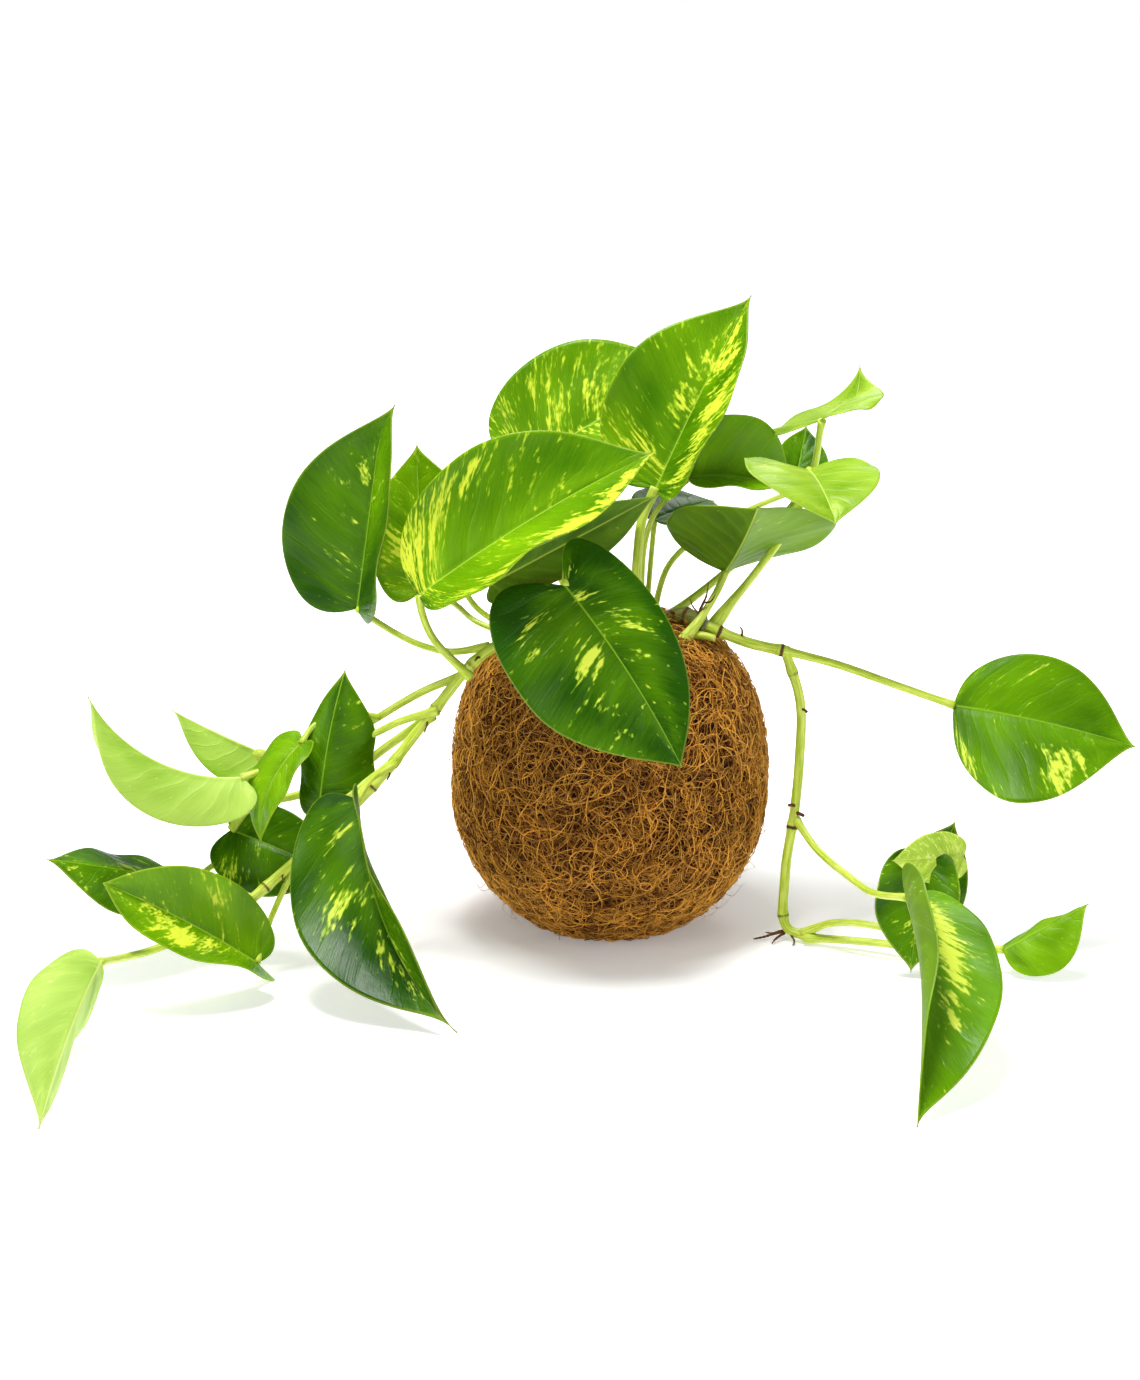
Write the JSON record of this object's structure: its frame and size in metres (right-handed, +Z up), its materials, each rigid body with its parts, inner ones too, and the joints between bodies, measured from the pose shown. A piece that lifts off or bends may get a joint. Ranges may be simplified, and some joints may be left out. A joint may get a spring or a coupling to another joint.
{
  "type": "pothos kokedama",
  "caption": "Ball of soil wrapped in coir fibre, planted with variegated golden pothos whose vines trail to the surface on both sides.",
  "frame": {"origin": "middle of the flat spot that the ball stands on", "axes": "+Z up, -Y towards the front of the plant, +X along the longer spread of the vines"},
  "size_m": [0.4708, 0.3281, 0.2818],
  "materials": {
    "leaf_deep": "glossy dark green leaf with cream flecks",
    "leaf_bright": "glossy bright green leaf with cream streaks",
    "leaf_pale": "satin pale green leaf",
    "stem": "satin yellow-green stem",
    "rhizome": "matte brownish green old stem",
    "coir": "matte brown coir fibre",
    "soil": "matte dark potting soil"
  },
  "bodies": {
    "root": {"leaf_front_cream": "leaf_bright", "leaf_left_upright": "leaf_deep", "leaf_left_behind": "leaf_bright", "leaf_top_back": "leaf_bright", "leaf_top_cream": "leaf_bright", "leaf_shaded": "leaf_deep", "leaf_front_hanging": "leaf_deep", "leaf_right_bright": "leaf_bright", "leaf_right_twisted": "leaf_pale", "leaf_right_saddle": "leaf_pale", "leaf_right_underside": "leaf_bright", "leaf_crown_small": "leaf_deep", "leaf_crown_inner": "leaf_deep", "leaf_far_right": "leaf_deep", "leaf_floor_back": "leaf_deep", "leaf_floor_folded": "leaf_deep", "leaf_floor_front": "leaf_deep", "leaf_floor_speckled": "leaf_bright", "leaf_left_pale": "leaf_pale", "leaf_left_pale_back": "leaf_pale", "leaf_left_arched": "leaf_deep", "leaf_left_drooping": "leaf_bright", "leaf_left_shadow": "leaf_deep", "leaf_left_low": "leaf_deep", "leaf_left_spread": "leaf_bright", "leaf_left_tip": "leaf_pale", "leaf_left_long": "leaf_deep", "rhizome": "rhizome", "vine_left_upper": "stem", "vine_left_lower": "stem", "vine_right_crown": "stem", "vine_right_hanging": "stem", "petiole_left_upright": "stem", "petiole_front_cream": "stem", "petiole_left_behind": "stem", "petiole_shaded": "stem", "petiole_top_back": "stem", "petiole_top_cream": "stem", "petiole_front_hanging": "stem", "petiole_right_bright": "stem", "petiole_right_twisted": "stem", "petiole_right_saddle": "stem", "petiole_right_underside": "stem", "petiole_crown_small": "stem", "petiole_crown_inner": "stem", "petiole_far_right": "stem", "petiole_floor_front": "stem", "petiole_floor_back": "stem", "petiole_floor_speckled": "stem", "petiole_left_pale": "stem", "petiole_left_pale_back": "stem", "petiole_left_shadow": "stem", "petiole_left_arched": "stem", "petiole_left_drooping": "stem", "petiole_left_low": "stem", "petiole_left_spread": "stem", "petiole_left_long": "stem", "petiole_left_tip": "stem", "coir_wrap": "coir", "soil_core": "soil"}
  },
  "joints": []
}
